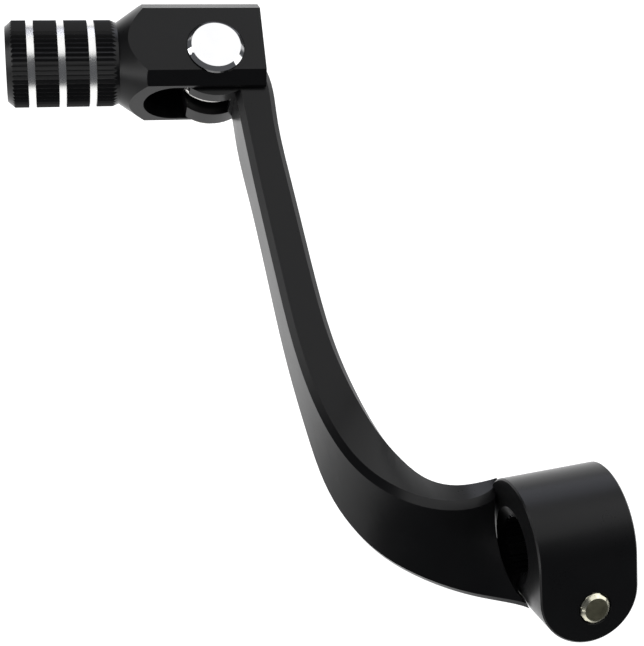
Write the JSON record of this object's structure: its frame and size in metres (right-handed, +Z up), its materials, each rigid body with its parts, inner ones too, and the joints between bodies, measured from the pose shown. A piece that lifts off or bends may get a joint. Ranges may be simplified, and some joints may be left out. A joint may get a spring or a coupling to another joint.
{
  "type": "gear shift lever",
  "caption": "Foot lever with a splined clamp hub, a twisted cranked arm and a sprung knurled toe peg that folds back on a pin.",
  "frame": {"origin": "centre of the splined bore, half way along the hub", "axes": "+Y outwards along the bore, +X from the hub towards the toe peg, +Z up on the bike, parallel to the peg's pivot pin"},
  "size_m": [0.1392, 0.1014, 0.0434],
  "materials": {
    "black_anodised": "satin black anodised",
    "polished_steel": "polished",
    "spring_steel": "bright drawn",
    "zinc_steel": "zinc plated"
  },
  "bodies": {
    "arm": {"lever_arm": "black_anodised", "pinch_bolt": "zinc_steel", "lock_washer": "zinc_steel", "flat_washer": "zinc_steel", "return_spring": "spring_steel"},
    "peg": {"toe_peg": "black_anodised", "pivot_pin": "polished_steel", "pin_washer": "zinc_steel", "retaining_clip": "spring_steel"}
  },
  "joints": [
    {"name": "toe_fold", "type": "hinge", "parent": "arm", "child": "peg", "pos_m": [0.104, 0.0506, 0.011], "axis": [0, 0, 1], "range_deg": [0, 70], "stiffness_Nm_per_rad": 0.15, "springref_deg": -34.38, "deforming": ["return_spring"]}
  ]
}
